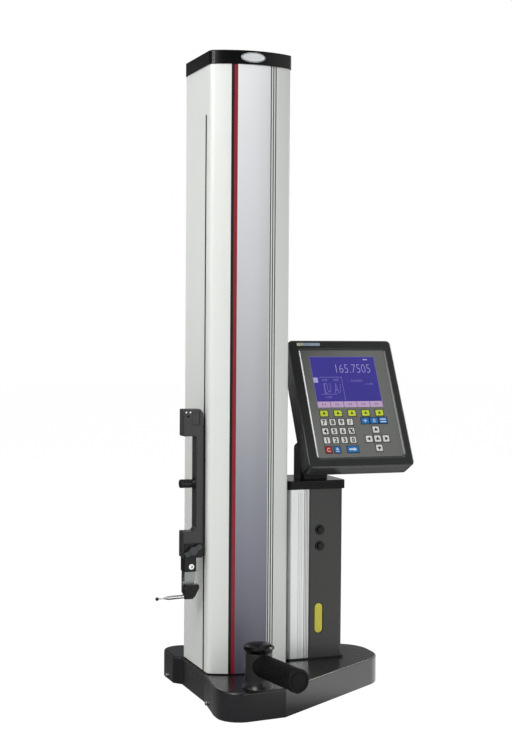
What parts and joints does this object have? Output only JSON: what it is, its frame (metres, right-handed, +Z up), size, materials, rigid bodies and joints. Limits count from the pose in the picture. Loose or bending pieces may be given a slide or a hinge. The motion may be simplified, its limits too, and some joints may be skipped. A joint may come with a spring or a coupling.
{
  "type": "motorised height gauge",
  "caption": "Motorised height gauge: air-bearing base with a grip, tall column with a probe carriage, and a tilting operator display on a side pillar.",
  "frame": {"origin": "on the underside of the base, under the middle of the column", "axes": "+Z up along the column, -Y towards the operator, +X to the operator's right"},
  "size_m": [0.4315, 0.433, 1],
  "materials": {
    "base_paint": "semi-gloss dark grey paint",
    "lapped_steel": "lapped steel",
    "seal_rubber": "matt black",
    "cover_paint": "satin pale grey powder coat",
    "stripe_black": "gloss black",
    "stripe_red": "dark red",
    "panel_grey": "bare grey panel",
    "cap_plastic": "fine-grained near-black moulding",
    "badge_silver": "bare oval plate",
    "machined_alloy": "machined",
    "rail_steel": "ground",
    "scale_glass": "clear",
    "motor_case": "black",
    "belt_rubber": "black",
    "weight_iron": "as cast",
    "carriage_black": "dark anodised",
    "knob_black": "black",
    "screw_bright": "bright",
    "shank_steel": "grey steel",
    "stylus_steel": "polished",
    "extrusion": "natural anodised",
    "cover_dark": "dark grey-green moulding",
    "insert_yellow": "yellow",
    "button_black": "black",
    "pack_blue": "shrink wrap",
    "board_green": "circuit board",
    "case_dark": "dark grey moulding",
    "foil_grey": "grey membrane foil",
    "key_white": "foil key field",
    "key_yellow": "foil key field",
    "key_blue": "foil key field",
    "key_red": "foil key field",
    "screen": "backlit blue display behind glass",
    "post_black": "semi-gloss black",
    "grip_rubber": "matt black"
  },
  "bodies": {
    "base": {"base_casting": "base_paint", "air_pads": "lapped_steel", "guide_pins": "lapped_steel", "foot_seal": "seal_rubber", "column_cover": "cover_paint", "trim_black": "stripe_black", "trim_red": "stripe_red", "front_panel": "panel_grey", "column_cap": "cap_plastic", "cap_badge": "badge_silver", "column_beam": "machined_alloy", "top_plate": "machined_alloy", "guide_rail": "rail_steel", "glass_scale": "scale_glass", "motor_bracket": "machined_alloy", "drive_motor": "motor_case", "drive_belt": "belt_rubber", "counterweight_rod": "rail_steel", "pillar_shell": "extrusion", "pillar_cover": "cover_dark", "pillar_cap": "cap_plastic", "pillar_foot": "cap_plastic", "yellow_insert": "insert_yellow", "button_bezels": "button_black", "battery_pack": "pack_blue", "control_board": "board_green", "handle_post": "post_black", "grip_core": "rail_steel", "rubber_grip": "grip_rubber", "grip_end_cap": "grip_rubber"},
    "carriage": {"carriage_truck": "machined_alloy", "guide_blocks": "rail_steel", "read_head": "machined_alloy", "arm_plate": "carriage_black", "probe_bracket": "carriage_black", "bracket_screws": "screw_bright", "probe_holder": "carriage_black", "probe_shank": "shank_steel", "holder_screw": "screw_bright"},
    "counterweight": {"counterweight": "weight_iron"},
    "lower_pulley": {"drive_pulley": "machined_alloy"},
    "upper_pulley": {"top_pulley": "machined_alloy"},
    "knob": {"fine_knob": "knob_black"},
    "lever": {"clamp_lever": "knob_black"},
    "probe": {"swivel_head": "carriage_black", "stylus": "stylus_steel", "stylus_ball": "stylus_steel"},
    "neck": {"display_neck": "cap_plastic", "tilt_pin": "rail_steel"},
    "display": {"display_housing": "case_dark", "display_bezel": "case_dark", "keypad_foil": "foil_grey", "keys_white": "key_white", "keys_yellow": "key_yellow", "keys_blue": "key_blue", "key_red": "key_red", "screen_window": "screen"},
    "air_valve": {"air_button": "knob_black"},
    "power": {"power_button": "button_black"},
    "pump": {"pump_button": "button_black"}
  },
  "joints": [
    {"name": "carriage_slide", "type": "slide", "parent": "base", "child": "carriage", "axis": [0, 0, 1], "range_m": [-0.159, 0.456]},
    {"name": "counterweight_slide", "type": "slide", "parent": "base", "child": "counterweight", "axis": [0, 0, 1], "range_m": [-0.458, 0.161]},
    {"name": "lower_pulley_spin", "type": "hinge", "parent": "base", "child": "lower_pulley", "pos_m": [0.0045, -0.056, 0.085], "axis": [0, 1, 0], "range_deg": [-465, 1315]},
    {"name": "upper_pulley_spin", "type": "hinge", "parent": "base", "child": "upper_pulley", "pos_m": [0.0045, -0.056, 0.935], "axis": [0, 1, 0], "range_deg": [-465, 1315]},
    {"name": "fine_knob_spin", "type": "hinge", "parent": "carriage", "child": "knob", "pos_m": [-0.09, -0.047, 0.338], "axis": [1, 0, 0], "continuous": true},
    {"name": "clamp_lever_turn", "type": "hinge", "parent": "carriage", "child": "lever", "pos_m": [-0.088, -0.06, 0.236], "axis": [0, 1, 0], "range_deg": [-45, 45]},
    {"name": "probe_swivel", "type": "hinge", "parent": "carriage", "child": "probe", "pos_m": [-0.088, -0.052, 0.172], "axis": [0, 1, 0], "range_deg": [-90, 25]},
    {"name": "display_swivel", "type": "hinge", "parent": "base", "child": "neck", "pos_m": [0.141, 0.025, 0.33], "axis": [0, 0, 1], "range_deg": [-20, 40]},
    {"name": "display_tilt", "type": "hinge", "parent": "neck", "child": "display", "pos_m": [0.141, 0.002, 0.378], "axis": [1, 0, 0], "range_deg": [-10, 14]},
    {"name": "air_button_press", "type": "slide", "parent": "base", "child": "air_valve", "axis": [0, 0, -1], "range_m": [0, 0.003], "stiffness_N_per_m": 800, "springref_m": -0.002},
    {"name": "power_press", "type": "slide", "parent": "base", "child": "power", "axis": [0, 1, 0], "range_m": [0, 0.0015], "stiffness_N_per_m": 600, "springref_m": -0.0015},
    {"name": "pump_press", "type": "slide", "parent": "base", "child": "pump", "axis": [0, 1, 0], "range_m": [0, 0.0015], "stiffness_N_per_m": 600, "springref_m": -0.0015}
  ],
  "couplings": [
    {"joint": "counterweight_slide", "follows": "carriage_slide", "ratio": -1},
    {"joint": "lower_pulley_spin", "follows": "carriage_slide", "rad_per_m": 50},
    {"joint": "upper_pulley_spin", "follows": "carriage_slide", "rad_per_m": 50}
  ]
}
